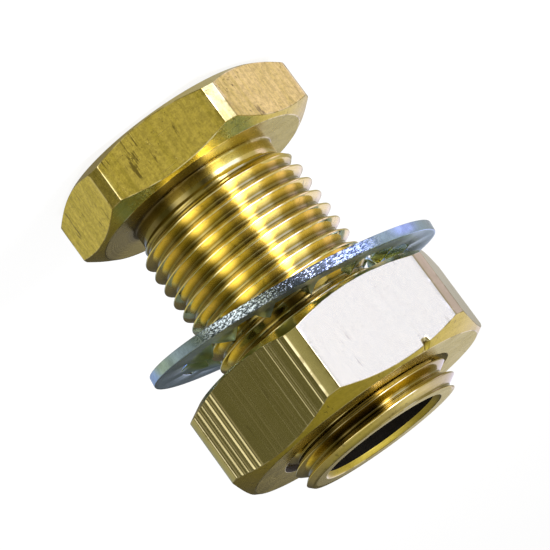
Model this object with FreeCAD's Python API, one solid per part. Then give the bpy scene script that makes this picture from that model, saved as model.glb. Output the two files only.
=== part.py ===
"""Brass tank connector: a hex-headed hollow stud, a hex back nut and a toothed lock washer.

Millimetres. The origin is the centre of the head's outer face, and +Z runs along the bore
towards the threaded end, so the connector stands on its head. The shank's thread is a true helix
with sharp crests and roots. The nut's hole is plain at the thread's outer size.
"""

import math
import os

import FreeCAD
import Part

# Pipe thread of the stud and the nut, parallel, half inch
thread_major_d = 20.955
thread_pitch = 1.814
thread_depth = 1.162
thread_start_angle = 176.6
thread_start_rise = 1.1
thread_clearance = 0.12
chords_per_turn = 34

# Stud: hex head a spanner size under the nut, relief neck, threaded shank and through bore
head_size_step = 3.6
head_height = 7.3
shank_length = 35.0
neck_width = 2.0
neck_undercut = 0.1
bore_d = 14.4
bore_countersink = 0.6
end_chamfer = 0.75

# Back nut, on the shank near its end
nut_across_flats = 31.6
nut_height = 11.1
nut_turn_angle = 31.3
nut_countersink = 0.5
tail_showing = 3.3

# Corners and faces shared by both hexagons
hex_corner_trim = 0.45
hex_face_inset = 0.6
hex_chamfer_angle = 30.0

# Lock washer with twisted inner teeth, loose and leaning on the shank in front of the nut
washer_overhang = 0.2
washer_ring_width = 3.4
washer_thickness = 1.25
washer_clearance = 1.0
tooth_count = 14
tooth_width = 2.7
tooth_twist = 42.0
tooth_steps = 3
tooth_root_overlap = 0.5
washer_lean = 7.3
washer_lean_azimuth = 199.4
washer_shift = 0.45
washer_rim_gap = 0.7

# Overlap that lets a cutting tool pass clear of the face it starts from
cut_margin = 0.1

AXIS = FreeCAD.Vector(0, 0, 1)
ORIGIN = FreeCAD.Vector(0, 0, 0)
FULL_TURN = 360.0
HEX_SIDES = 6
HEX_STEP = FULL_TURN / HEX_SIDES

# Spanner size of the head, worked out from the nut's
head_across_flats = nut_across_flats - head_size_step

# Levels along the axis, worked out from the sizes above
bearing_z = head_height
tail_z = bearing_z + shank_length
nut_back_z = tail_z - tail_showing
nut_front_z = nut_back_z - nut_height

# Radii of the thread's outline
major_r = thread_major_d / 2
minor_r = major_r - thread_depth


def revolve(points):
    """Solid of revolution about +Z from (radius, height) points of a closed outline."""
    corners = [FreeCAD.Vector(radius, 0, height) for radius, height in points]
    outline = Part.Face(Part.makePolygon(corners + corners[:1]))
    return outline.revolve(ORIGIN, AXIS, FULL_TURN)


def flat_face(corners):
    """Plane face on the given corners."""
    return Part.Face(Part.makePolygon(corners + corners[:1]))


def trimmed_corner_r(across_flats):
    """Radius of a hexagon's corners after they are turned back a little."""
    return across_flats / math.sqrt(3) - hex_corner_trim


def hexagon_blank(across_flats, bottom_z, top_z, turn):
    """Hexagonal prism with trimmed corners and turned chamfers at both ends."""
    trim_r = trimmed_corner_r(across_flats)
    corner_r = trim_r + hex_corner_trim
    corners = []
    for side in range(HEX_SIDES + 1):
        angle = math.radians(turn + side * HEX_STEP)
        corners.append(FreeCAD.Vector(corner_r * math.cos(angle), corner_r * math.sin(angle), bottom_z))
    prism = Part.Face(Part.makePolygon(corners)).extrude(AXIS * (top_z - bottom_z))

    face_r = across_flats / 2 - hex_face_inset
    drop = (trim_r - face_r) * math.tan(math.radians(hex_chamfer_angle))
    turned = revolve([
        (0, bottom_z), (face_r, bottom_z), (trim_r, bottom_z + drop),
        (trim_r, top_z - drop), (face_r, top_z), (0, top_z),
    ])
    return prism.common(turned)


def countersunk_hole(hole_r, sink, bottom_z, top_z):
    """Cutter for a through hole whose two mouths open at 45 degrees."""
    mouth_r = hole_r + sink + cut_margin
    return revolve([
        (0, bottom_z - cut_margin), (mouth_r, bottom_z - cut_margin), (hole_r, bottom_z + sink),
        (hole_r, top_z - sink), (mouth_r, top_z + cut_margin), (0, top_z + cut_margin),
    ])


def helix_point(radius, height, chord):
    """Point of a helix after so many chords, for a helix that starts at the given height."""
    angle = math.radians(thread_start_angle + chord * FULL_TURN / chords_per_turn)
    climb = chord * thread_pitch / chords_per_turn
    return FreeCAD.Vector(radius * math.cos(angle), radius * math.sin(angle), height + climb)


def helix_strip(lower, upper, chord):
    """Ruled face along one chord, between the helices of two (radius, height) corners."""
    edges = []
    for corner in (lower, upper):
        edges.append(Part.makeLine(helix_point(*corner, chord), helix_point(*corner, chord + 1)))
    return Part.makeRuledSurface(*edges)


def threaded_bar(low_z, high_z):
    """Bar with a helical thread that passes both heights, closed by a spiral ramp at each end."""
    crest_z = bearing_z + thread_start_rise
    first_turn = math.floor((low_z - crest_z) / thread_pitch) - 1
    last_turn = math.ceil((high_z - crest_z) / thread_pitch) + 1
    base_z = crest_z + first_turn * thread_pitch
    outline = [(major_r, base_z), (minor_r, base_z + thread_pitch / 2), (major_r, base_z + thread_pitch)]
    chords = (last_turn - first_turn) * chords_per_turn
    faces = []
    for chord in range(chords):
        for lower, upper in zip(outline, outline[1:]):
            faces.append(helix_strip(lower, upper, chord))
    for start in (0, chords):
        ramp = range(start, start + chords_per_turn)
        for chord in ramp:
            faces.append(helix_strip((0, base_z), outline[0], chord))
        step = [helix_point(*corner, start) for corner in outline]
        axis = [helix_point(0, base_z, chord) for chord in (ramp.stop, *reversed(ramp))]
        faces.append(flat_face(step + axis))
    shell = Part.Shell(faces)
    shell.sewShape()
    return Part.Solid(shell)


def threaded_stud():
    """Hex head and hollow threaded shank, turned from one bar."""
    head = hexagon_blank(head_across_flats, 0, bearing_z, 0)
    neck_r = minor_r - neck_undercut
    neck_top_z = bearing_z + neck_width
    outer_r = major_r + cut_margin
    tail_r = major_r - end_chamfer
    turned = revolve([
        (0, bearing_z), (neck_r, bearing_z), (neck_r, neck_top_z), (outer_r, neck_top_z + outer_r - neck_r),
        (outer_r, tail_z - outer_r + tail_r), (tail_r, tail_z), (0, tail_z),
    ])
    shank = threaded_bar(bearing_z, tail_z).common(turned)
    bore = countersunk_hole(bore_d / 2, bore_countersink, 0, tail_z)
    return head.fuse(shank).cut(bore)


def back_nut():
    """Hex nut that runs on the shank, with countersunk mouths."""
    blank = hexagon_blank(nut_across_flats, nut_front_z, nut_back_z, nut_turn_angle)
    hole = countersunk_hole(major_r + thread_clearance, nut_countersink, nut_front_z, nut_back_z)
    return blank.cut(hole)


def tooth_section(radius, twist):
    """Corners of a washer tooth's rectangular section, turned about the tooth's own radius."""
    turn = math.radians(twist)
    half_width = tooth_width / 2
    half_thickness = washer_thickness / 2
    corners = []
    for across, up in ((-1, -1), (1, -1), (1, 1), (-1, 1)):
        y = across * half_width * math.cos(turn) - up * half_thickness * math.sin(turn)
        z = across * half_width * math.sin(turn) + up * half_thickness * math.cos(turn)
        corners.append(FreeCAD.Vector(radius, y, z))
    return corners


def twisted_tooth(ring_r, tip_r):
    """One tooth along +X: a flat foot inside the ring, then facets that twist up to the tip."""
    root_r = math.sqrt(ring_r ** 2 - (tooth_width / 2) ** 2)
    sections = [tooth_section(ring_r + tooth_root_overlap, 0)]
    for step in range(tooth_steps + 1):
        share = step / tooth_steps
        sections.append(tooth_section(root_r + share * (tip_r - root_r), share * tooth_twist))
    faces = [flat_face(sections[0]), flat_face(sections[-1])]
    for near, far in zip(sections, sections[1:]):
        for corner in range(len(near)):
            after = (corner + 1) % len(near)
            faces.append(flat_face([near[corner], near[after], far[corner]]))
            faces.append(flat_face([near[after], far[after], far[corner]]))
    return Part.Solid(Part.Shell(faces))


def lock_washer():
    """Flat ring with inner teeth twisted out of its plane, leaning on the shank."""
    half_thickness = washer_thickness / 2
    outer_r = trimmed_corner_r(nut_across_flats) + washer_overhang
    ring_r = outer_r - washer_ring_width
    washer = revolve([
        (ring_r, -half_thickness), (outer_r, -half_thickness),
        (outer_r, half_thickness), (ring_r, half_thickness),
    ])
    tooth = twisted_tooth(ring_r, major_r + washer_clearance)
    teeth = []
    for place in range(tooth_count):
        copy = tooth.copy()
        copy.rotate(ORIGIN, AXIS, place * FULL_TURN / tooth_count)
        teeth.append(copy)
    washer = washer.fuse(teeth).removeSplitter()

    lean = math.radians(washer_lean)
    rise = outer_r * math.sin(lean) + half_thickness * math.cos(lean)
    washer.rotate(ORIGIN, FreeCAD.Vector(0, -1, 0), washer_lean)
    washer.translate(FreeCAD.Vector(washer_shift, 0, nut_front_z - washer_rim_gap - rise))
    washer.rotate(ORIGIN, AXIS, washer_lean_azimuth)
    return washer


def main():
    """Build each piece and write it to its own file."""
    os.makedirs("parts", exist_ok=True)
    pieces = {"threaded_stud": threaded_stud(), "back_nut": back_nut(), "lock_washer": lock_washer()}
    for name, shape in pieces.items():
        shape.exportStep(os.path.join("parts", name + ".step"))
        print(f"{name}: solids {len(shape.Solids)}, valid {shape.isValid()}, volume {shape.Volume:.1f} mm3")


main()
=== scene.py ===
"""Tank connector: the visual model of a threaded stud, its back nut and its lock washer.

Sizes are in millimetres in the classes and in metres in the meshes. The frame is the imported
part's own: the origin is the centre of the head's outer face and +Z runs towards the tail.
"""

import logging
import math
from dataclasses import dataclass, field
from enum import Enum
from typing import Callable, Optional, Sequence, Union

import bmesh
import bpy
import numpy as np
from mathutils import Matrix, Vector


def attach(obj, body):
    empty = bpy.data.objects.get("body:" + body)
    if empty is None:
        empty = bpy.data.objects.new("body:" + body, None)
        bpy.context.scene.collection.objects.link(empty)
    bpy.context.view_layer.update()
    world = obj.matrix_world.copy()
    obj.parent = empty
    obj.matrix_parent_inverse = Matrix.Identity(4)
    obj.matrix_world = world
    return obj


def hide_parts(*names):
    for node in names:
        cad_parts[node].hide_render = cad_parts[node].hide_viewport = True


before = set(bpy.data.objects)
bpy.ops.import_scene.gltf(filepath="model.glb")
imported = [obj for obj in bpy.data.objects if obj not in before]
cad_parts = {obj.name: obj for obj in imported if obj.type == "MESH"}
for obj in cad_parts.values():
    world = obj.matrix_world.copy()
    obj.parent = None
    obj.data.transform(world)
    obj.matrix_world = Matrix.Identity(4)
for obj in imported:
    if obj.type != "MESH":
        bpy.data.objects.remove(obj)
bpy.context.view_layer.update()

LOG = logging.getLogger("tank_connector")
MM = 0.001
FULL_TURN = 360.0
HEX_SIDES = 6
HEX_STEP = FULL_TURN / HEX_SIDES

# Distances in millimetres: the play of a level, the reach of a weld and the shortest edge
TOUCH = 0.001
WELD = 0.0005
SLIVER = 0.0002

# One value or one for each place, a function of two places, a colour, and what a node's input takes
Rings = Union[float, np.ndarray]
Field = Callable[[np.ndarray, np.ndarray], np.ndarray]
Colour = tuple[float, float, float]
Feed = Union[float, Sequence[float], bpy.types.NodeSocket]


class BrassArea(Enum):
    """Material slots of the two brass pieces, in slot order."""

    FLAT = 0
    TURNED = 1
    THREAD = 2
    BORE = 3


class ZincArea(Enum):
    """Material slots of the washer, in slot order."""

    FACE = 0
    RIM = 1


class Grain(Enum):
    """Which way the fine lines of a metal surface run."""

    DRAWN = "along the bar"
    TURNED = "round the axis"


# Meshes


class MeshSketch:
    """Points and faces of one piece while it is built, in millimetres."""

    def __init__(self) -> None:
        """Starts with nothing."""
        self.points: list[np.ndarray] = []
        self.wear: list[np.ndarray] = []
        self.grime_and_shade: list[np.ndarray] = []
        self.faces: list[tuple[int, ...]] = []
        self.slots: list[int] = []
        self.count = 0

    def add(self, points: np.ndarray, wear: Rings = 0.0, grime_and_shade: Rings = 0.0) -> np.ndarray:
        """Adds points.

        Args:
            points: array of places, one row each.
            wear: how polished each point is by handling, 0 to 1.
            grime_and_shade: how much dark colour each point holds, 0 to 1, for dirt and for painted shade.

        Returns:
            The indices of the new points.
        """
        size = len(points)
        self.points.append(np.asarray(points, float))
        self.wear.append(np.broadcast_to(np.asarray(wear, float), (size,)))
        self.grime_and_shade.append(np.broadcast_to(np.asarray(grime_and_shade, float), (size,)))
        self.count += size
        return np.arange(self.count - size, self.count)

    def face(self, corners: Sequence[int], area: Enum) -> None:
        """Adds one face with the material of an area."""
        self.faces.append(tuple(int(corner) for corner in corners))
        self.slots.append(area.value)

    def band(self, ring: np.ndarray, following: np.ndarray, area: Enum) -> None:
        """Closes the strip between two rings of the same count."""
        for low, high, low_next, high_next in zip(
                ring, following, np.roll(ring, -1), np.roll(following, -1)):
            self.face((low, low_next, high_next, high), area)

    def to_object(self, name: str, materials: Sequence[bpy.types.Material]) -> bpy.types.Object:
        """Makes the Blender object, with doubled points welded.

        Args:
            name: the object's name.
            materials: one material for each area, in slot order.

        Returns:
            The linked object, smooth shaded, with wear and grime_and_shade (dirt and painted shade) as point
            attributes.
        """
        mesh = bpy.data.meshes.new(name)
        mesh.from_pydata((np.concatenate(self.points) * MM).tolist(), [], self.faces)
        for material in materials:
            mesh.materials.append(material)
        mesh.polygons.foreach_set("material_index", self.slots)
        for label, values in (("wear", self.wear), ("grime_and_shade", self.grime_and_shade)):
            marks = mesh.attributes.new(label, "FLOAT", "POINT")
            marks.data.foreach_set("value", np.concatenate(values).astype(np.float32))
        work = bmesh.new()
        work.from_mesh(mesh)
        bmesh.ops.remove_doubles(work, verts=work.verts[:], dist=WELD * MM)
        bmesh.ops.dissolve_degenerate(work, edges=work.edges[:], dist=SLIVER * MM)
        loose = [point for point in work.verts if not point.link_faces]
        bmesh.ops.delete(work, geom=loose, context="VERTS")
        bmesh.ops.recalc_face_normals(work, faces=work.faces[:])
        work.to_mesh(mesh)
        work.free()
        mesh.polygons.foreach_set("use_smooth", [True] * len(mesh.polygons))
        piece = bpy.data.objects.new(name, mesh)
        bpy.context.scene.collection.objects.link(piece)
        return piece


@dataclass
class Turning:
    """Outline that is carried round the axis, with rounded edges.

    Attributes:
        angles: the places round the axis, in degrees.
        steps: rings of the outline, each as radius, height, wear, and the area of the band after it.
        support: where the ring beside a rounding lies, in reaches from the corner.
        dulling: how much less a rounding is worn at its two ends than in its middle.
    """

    angles: np.ndarray
    steps: list[tuple[np.ndarray, np.ndarray, float, Enum]] = field(default_factory=list)
    support: float = 1.8
    dulling: float = 0.6

    def _spread(self, value: Rings) -> np.ndarray:
        """One value for each place round the axis."""
        return np.broadcast_to(np.asarray(value, float), self.angles.shape)

    def follow(self, corners: Sequence[tuple[Rings, Rings, float, Enum]], pieces: int = 3) -> "Turning":
        """Adds an outline of corners, each with a rounding reach and the area after it.

        Args:
            corners: radius, height, reach of the rounding, and area of the band that follows.
            pieces: how many bands one rounding is made of.

        Returns:
            This turning.
        """
        spread = [np.stack([self._spread(radius), self._spread(height)])
                  for radius, height, _, _ in corners]
        for index, (place, (_, _, reach, area)) in enumerate(zip(spread, corners)):
            if reach <= 0 or index in (0, len(corners) - 1):
                self.steps.append((place[0], place[1], 0.0, area))
                continue
            back = spread[index - 1] - place
            ahead = spread[index + 1] - place
            back = back / np.linalg.norm(back, axis=0)
            ahead = ahead / np.linalg.norm(ahead, axis=0)
            before = corners[index - 1][3]
            beside = place + back * reach * self.support
            self.steps.append((beside[0], beside[1], 0.0, before))
            for cut in range(pieces + 1):
                share = cut / pieces
                bend = place + back * reach * (1 - share) ** 2 + ahead * reach * share ** 2
                shine = 1.0 - abs(2 * share - 1) * self.dulling
                self.steps.append((bend[0], bend[1], shine, before if share < 0.5 else area))
            beside = place + ahead * reach * self.support
            self.steps.append((beside[0], beside[1], 0.0, area))
        return self

    def build(self, sketch: MeshSketch, corner_wear: Optional[np.ndarray] = None,
              grime_and_shade: Optional[Field] = None) -> None:
        """Adds the rings and the bands between them.

        Args:
            sketch: the mesh that takes them.
            corner_wear: wear that upright edges add, one value for each place round the axis.
            grime_and_shade: how much dirt and painted shade a place holds, from its radius and height.
        """
        turn = np.radians(self.angles)
        rings = []
        for radius, height, wear, area in self.steps:
            shine = np.full_like(turn, wear)
            if corner_wear is not None and area is BrassArea.FLAT:
                shine = np.maximum(shine, corner_wear)
            places = np.stack([radius * np.cos(turn), radius * np.sin(turn), height], axis=1)
            rings.append(sketch.add(places, shine, grime_and_shade(radius, height) if grime_and_shade else 0.0))
        for (_, _, _, area), ring, following in zip(self.steps, rings, rings[1:]):
            sketch.band(ring, following, area)


@dataclass(frozen=True)
class PipeThread:
    """Right-hand parallel pipe thread with narrow flat crests and rounded roots.

    Polish and dirt go by the share of the thread's depth: the crests are polished down to
    polished_to, dirt starts at dirty_from and grows to root_dirt, and where the surface is cut back
    it holds cut_dirt.
    """

    major_r: float = 20.955 / 2
    pitch: float = 1.814
    depth: float = 1.162
    crest_width: float = 0.15
    root_width: float = 0.30
    crest_round: float = 0.05
    root_round: float = 0.14
    crest_angle: float = 176.6
    crest_z: float = 8.4
    round_rows: int = 4
    polished_to: float = 0.05
    dirty_from: float = 0.70
    root_dirt: float = 0.7
    cut_dirt: float = 0.1

    def outline(self) -> tuple[np.ndarray, np.ndarray]:
        """Half of one ridge.

        Returns:
            Distances along the axis from the crest's middle, and depths under the crest.
        """
        crest = np.array([self.crest_width / 2, 0.0])
        root = np.array([(self.pitch - self.root_width) / 2, self.depth])
        flank = (root - crest) / np.linalg.norm(root - crest)
        along = np.array([1.0, 0.0])
        share = np.linspace(0, 1, self.round_rows)[:, None]
        fading, growing = (1 - share) ** 2, share ** 2
        top = crest - along * self.crest_round * fading + flank * self.crest_round * growing
        foot = root - flank * self.root_round * fading + along * self.root_round * growing
        middle = (top[-1] + foot[0]) / 2
        points = np.vstack([[0.0, 0.0], top, middle, foot, [self.pitch / 2, self.depth]])
        return points[:, 0], points[:, 1]

    def row_offsets(self) -> np.ndarray:
        """Heights of the mesh rows in one turn, from the crest's middle."""
        away, _ = self.outline()
        return np.concatenate([-away[:0:-1][1:], away])

    def drop(self, angles: np.ndarray, heights: np.ndarray) -> np.ndarray:
        """Depth of the thread's surface under its crests at places on the shank.

        Args:
            angles: places round the axis, in degrees.
            heights: places along the axis.

        Returns:
            The depth at each place.
        """
        lead = self.crest_z + self.pitch * (angles - self.crest_angle) / FULL_TURN
        away = np.abs((heights - lead + self.pitch / 2) % self.pitch - self.pitch / 2)
        return np.interp(away, *self.outline())

    def wrap(self, sketch: MeshSketch, angles: np.ndarray, low: float, high: float, limit: Field,
             gap: float = 0.0, painted_shade: Optional[Field] = None) -> None:
        """Adds the helical surface between two heights.

        Args:
            sketch: the mesh that takes it.
            angles: places round the axis in degrees, rising.
            low: height where the surface starts.
            high: height where it ends.
            limit: function of the plain radius and the height that trims the surface.
            gap: how far the surface stands off, as in the nut.
            painted_shade: function of the angle and the height that gives the painted shade on it.
        """
        offsets = self.row_offsets()
        rows_in_turn = len(offsets)
        lead = self.crest_z + self.pitch * (angles - self.crest_angle) / FULL_TURN
        first = math.floor((low - lead.max()) / self.pitch) - 1
        last = math.ceil((high - lead.min()) / self.pitch) + 1
        rows = np.concatenate([turn * self.pitch + offsets for turn in range(first, last + 1)])
        heights = np.clip(lead[None, :] + rows[:, None], low, high)
        spread = np.broadcast_to(angles[None, :], heights.shape)
        drop = self.drop(spread, heights)
        plain = self.major_r - drop + gap
        radius = limit(plain, heights)
        turn = np.radians(spread)
        places = np.stack([radius * np.cos(turn), radius * np.sin(turn), heights], axis=2)
        share = drop / self.depth
        cut = np.abs(plain - radius) > self.crest_round / 2
        polish = np.where(cut, 0.0, np.clip(1 - share / self.polished_to, 0, 1))
        deep = np.clip((share - self.dirty_from) / (1 - self.dirty_from), 0, 1)
        grime_and_shade = np.where(cut, self.cut_dirt, deep * self.root_dirt)
        # Painted shade where shade falls on the thread, laid over the dirt in the roots.
        if painted_shade is not None:
            grime_and_shade = np.maximum(grime_and_shade, painted_shade(spread, heights))
        index = sketch.add(places.reshape(-1, 3), polish.reshape(-1), grime_and_shade.reshape(-1))
        index = index.reshape(heights.shape)
        columns = len(angles)
        for row in range(len(rows) - 1):
            for column in range(columns):
                after, climb = (column + 1, 0) if column + 1 < columns else (0, rows_in_turn)
                if row + climb + 1 >= len(rows):
                    continue
                if heights[row, column] >= high or heights[row + 1, column] <= low:
                    if heights[row + climb, after] >= high or heights[row + climb + 1, after] <= low:
                        continue
                corners = (index[row, column], index[row + climb, after],
                           index[row + climb + 1, after], index[row + 1, column])
                sketch.face(corners, BrassArea.THREAD)


@dataclass(frozen=True)
class HexBar:
    """Hexagonal bar with trimmed corners, and the chamfers its ends are turned with.

    The last fields place the mesh round the axis, in degrees: offsets from the edge of a flat, and
    the steps on a plain flat and on a finely grooved one, with the room each leaves at the edge.
    """

    across_flats: float
    turn: float
    corner_trim: float = 0.45
    face_inset: float = 0.6
    chamfer_angle: float = 30.0
    edge_round: float = 0.08
    corner_round: float = 0.05
    wear_reach: float = 0.12
    edge_offsets: tuple[float, ...] = (-1.3, -0.8, -0.45, -0.2, 0.0, 0.2, 0.45, 0.9)
    plain_step: float = 2.6
    plain_room: float = 1.6
    fine_step: float = 0.35
    fine_room: float = 1.5

    @property
    def trim_r(self) -> float:
        """Radius of the trimmed corners."""
        return self.across_flats / math.sqrt(3) - self.corner_trim

    @property
    def face_r(self) -> float:
        """Radius of the flat ring that the chamfer leaves on an end face."""
        return self.across_flats / 2 - self.face_inset

    def angles(self, dense: Sequence[int] = ()) -> np.ndarray:
        """Places round the axis, close together at the corners.

        Args:
            dense: numbers of the flats that take fine grooves and need many places.

        Returns:
            Rising angles in degrees, over one turn.
        """
        edge = math.degrees(math.acos(self.across_flats / 2 / self.trim_r))
        near = [edge + offset for offset in self.edge_offsets]
        steps = int((edge - self.plain_room) / self.plain_step)
        plain = [self.plain_step * step for step in range(1, steps + 1)] + near
        fine = list(np.arange(self.fine_step, edge - self.fine_room, self.fine_step)) + near
        places = []
        for side in range(HEX_SIDES):
            middle = self.turn + (side + 0.5) * HEX_STEP
            offsets = fine if side in dense else plain
            places += [middle - offset for offset in offsets]
            places.append(middle)
            places += [middle + offset for offset in offsets]
            places.append(middle + HEX_STEP / 2)
        return np.sort(np.asarray(places))

    def radius(self, angles: np.ndarray) -> np.ndarray:
        """Distance of the bar's wall from the axis, with softened corners.

        Args:
            angles: places round the axis, in degrees.

        Returns:
            The wall's radius at each place.
        """
        flat = self.across_flats / 2 / np.cos(np.radians(self.off_middle(angles)))
        blend = np.maximum(self.corner_round - np.abs(flat - self.trim_r), 0) / self.corner_round
        return np.minimum(flat, self.trim_r) - blend ** 2 * self.corner_round / 4

    def off_middle(self, angles: np.ndarray) -> np.ndarray:
        """Angle of each place from the middle of its flat, in degrees."""
        return (angles - self.turn) % HEX_STEP - HEX_STEP / 2

    def corner_wear(self, angles: np.ndarray) -> np.ndarray:
        """Polish along the upright edges, 0 to 1."""
        flat = self.across_flats / 2 / np.cos(np.radians(self.off_middle(angles)))
        return np.exp(-((flat - self.trim_r) / self.wear_reach) ** 2)

    def chamfer_drop(self, wall: np.ndarray) -> np.ndarray:
        """How far below an end face the turned chamfer meets the wall."""
        return (wall - self.face_r) * math.tan(math.radians(self.chamfer_angle))


# Finishes


# Numbers of the Mix node's colour sockets
MIX_FACTOR = 0
MIX_FIRST = 6
MIX_SECOND = 7
MIX_RESULT = 2


class NodeSketch:
    """Short way to add and join nodes in one tree."""

    def __init__(self, tree: bpy.types.NodeTree) -> None:
        """Works on the given tree."""
        self.tree = tree

    def add(self, kind: str, inputs: Optional[dict[Union[str, int], Feed]] = None,
            **settings: object) -> bpy.types.Node:
        """Adds a node.

        Args:
            kind: the node's type name.
            inputs: values or sockets for its inputs, by name or number.
            settings: properties of the node.

        Returns:
            The node.
        """
        node = self.tree.nodes.new(kind)
        for label, value in settings.items():
            setattr(node, label, value)
        for label, value in (inputs or {}).items():
            self.feed(node.inputs[label], value)
        return node

    def feed(self, socket: bpy.types.NodeSocket, value: Feed) -> None:
        """Links a socket into an input, or sets a plain value on it.

        Args:
            socket: the input.
            value: the socket or the plain value.
        """
        if isinstance(value, bpy.types.NodeSocket):
            self.tree.links.new(value, socket)
        else:
            socket.default_value = value

    def math(self, operation: str, first: Feed, second: Feed = 0.0) -> bpy.types.NodeSocket:
        """Output of a Math node on two values or sockets."""
        return self.add("ShaderNodeMath", {0: first, 1: second}, operation=operation).outputs[0]

    def remap(self, value: Feed, low: float, high: float, to_low: float = 0.0,
              to_high: float = 1.0) -> bpy.types.NodeSocket:
        """Output of a smooth Map Range node."""
        inputs = {"Value": value, "From Min": low, "From Max": high, "To Min": to_low, "To Max": to_high}
        return self.add("ShaderNodeMapRange", inputs, interpolation_type="SMOOTHSTEP").outputs["Result"]

    def mix(self, factor: Feed, first: Feed, second: Feed, blend: str = "MIX") -> bpy.types.NodeSocket:
        """Output of a colour mix.

        Args:
            factor: share of the second colour.
            first: colour at 0.
            second: colour at 1.
            blend: how the second colour is laid on the first.

        Returns:
            The mixed colour's socket.
        """
        node = self.add("ShaderNodeMix", data_type="RGBA", blend_type=blend, clamp_factor=True)
        self.feed(node.inputs[MIX_FACTOR], factor)
        self.feed(node.inputs[MIX_FIRST], first)
        self.feed(node.inputs[MIX_SECOND], second)
        return node.outputs[MIX_RESULT]

    def noise(self, vector: Feed, scale: float, detail: float = 2.0,
              roughness: float = 0.5) -> bpy.types.NodeSocket:
        """Output of a noise texture at a vector."""
        inputs = {"Vector": vector, "Scale": scale, "Detail": detail, "Roughness": roughness}
        return self.add("ShaderNodeTexNoise", inputs).outputs["Fac"]


def new_group(name: str, inputs: Sequence[tuple[str, str]], outputs: Sequence[str],
              ) -> tuple[NodeSketch, dict[str, bpy.types.NodeSocket], bpy.types.Node]:
    """Starts a shader node group.

    Args:
        name: the group's name.
        inputs: label and socket type of each input.
        outputs: label of each output, all plain values.

    Returns:
        The sketch of its tree, its input sockets by label, and its output node.
    """
    tree = bpy.data.node_groups.new(name, "ShaderNodeTree")
    for label, kind in inputs:
        tree.interface.new_socket(label, in_out="INPUT", socket_type=kind)
    for label in outputs:
        tree.interface.new_socket(label, in_out="OUTPUT", socket_type="NodeSocketFloat")
    sketch = NodeSketch(tree)
    source = sketch.add("NodeGroupInput")
    sockets = {label: source.outputs[label] for label, _ in inputs}
    return sketch, sockets, sketch.add("NodeGroupOutput")


# Values between which a noise mostly lies
NOISE_SPAN = (0.36, 0.66)


@dataclass
class SurfaceEffects:
    """Node groups that more than one finish uses: scuffs, drawn lines and turned lines."""

    scuffs: Optional[bpy.types.NodeTree] = None
    drawn: Optional[bpy.types.NodeTree] = None
    turned: Optional[bpy.types.NodeTree] = None

    def build(self) -> "SurfaceEffects":
        """Makes the groups.

        Returns:
            This set.
        """
        self.scuffs = self._scuffs()
        self.drawn = self._drawn()
        self.turned = self._turned()
        return self

    @staticmethod
    def _scuffs() -> bpy.types.NodeTree:
        """Scratches at several angles, gouges, small pits, grain and cloudy patches.

        Returns:
            The group, with a mask for each.
        """
        sketch, sockets, out = new_group(
            "scuffs", [("Vector", "NodeSocketVector"), ("Amount", "NodeSocketFloat")],
            ["Scratch", "Gouge", "Pit", "Grain", "Cloud"])
        place, amount = sockets["Vector"], sockets["Amount"]
        marks = None
        for turn, stretch in (((0.4, 0.9, 0.2), (1.0, 0.04, 1.0)), ((1.1, 0.3, 1.9), (1.0, 1.0, 0.05)),
                              ((0.2, 2.2, 0.8), (0.05, 1.0, 1.0))):
            bend = sketch.add("ShaderNodeMapping", {"Vector": place, "Rotation": turn, "Scale": stretch})
            fine = sketch.noise(bend.outputs[0], 2400.0, 1.0)
            line = sketch.remap(fine, 0.69, 0.75)
            marks = line if marks is None else sketch.math("MAXIMUM", marks, line)
        patch = sketch.noise(place, 260.0, 3.0)
        marks = sketch.math("MULTIPLY", marks, sketch.remap(patch, 0.42, 0.62))
        bend = sketch.add("ShaderNodeMapping", {
            "Vector": place, "Rotation": (0.5, 0.2, 1.3), "Scale": (1.0, 1.0, 0.16)})
        gouges = sketch.remap(sketch.noise(bend.outputs[0], 1700.0, 3.0, 0.6), 0.60, 0.68)
        struck = sketch.remap(sketch.noise(place, 190.0, 2.0), 0.47, 0.57)
        gouges = sketch.math("MULTIPLY", gouges, struck)
        pits = sketch.remap(sketch.noise(place, 1900.0, 2.0, 0.6), 0.66, 0.74)
        pits = sketch.math("MULTIPLY", pits, sketch.remap(patch, 0.40, 0.58))
        for label, mask in (("Scratch", marks), ("Gouge", gouges), ("Pit", pits)):
            sketch.feed(out.inputs[label], sketch.math("MULTIPLY", mask, amount))
        sketch.feed(out.inputs["Grain"], sketch.noise(place, 2100.0, 5.0, 0.68))
        sketch.feed(out.inputs["Cloud"], sketch.noise(place, 420.0, 5.0, 0.62))
        return sketch.tree

    @staticmethod
    def _drawn() -> bpy.types.NodeTree:
        """Lines that a drawing die leaves along the bar.

        Returns:
            The group.
        """
        sketch, sockets, out = new_group("drawn lines", [("Vector", "NodeSocketVector")], ["Lines"])
        slim = sketch.add("ShaderNodeMapping", {"Vector": sockets["Vector"], "Scale": (1.0, 1.0, 0.02)})
        fine = sketch.noise(slim.outputs[0], 5200.0, 2.0)
        broad = sketch.noise(slim.outputs[0], 1100.0, 2.0)
        lines = sketch.math("ADD", sketch.math("MULTIPLY", fine, 0.45), sketch.math("MULTIPLY", broad, 0.55))
        sketch.feed(out.inputs["Lines"], lines)
        return sketch.tree

    @staticmethod
    def _turned() -> bpy.types.NodeTree:
        """Lines that a turning tool leaves round the axis.

        Returns:
            The group.
        """
        sketch, sockets, out = new_group("turned lines", [("Vector", "NodeSocketVector")], ["Lines"])
        parts = sketch.add("ShaderNodeSeparateXYZ", {"Vector": sockets["Vector"]})
        flat = sketch.add("ShaderNodeCombineXYZ", {"X": parts.outputs["X"], "Y": parts.outputs["Y"]})
        radius = sketch.add("ShaderNodeVectorMath", {0: flat.outputs[0]}, operation="LENGTH")
        ring = sketch.add("ShaderNodeCombineXYZ", {"X": radius.outputs["Value"], "Y": parts.outputs["Z"]})
        sketch.feed(out.inputs["Lines"], sketch.noise(ring.outputs[0], 6500.0, 2.0))
        return sketch.tree


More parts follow.
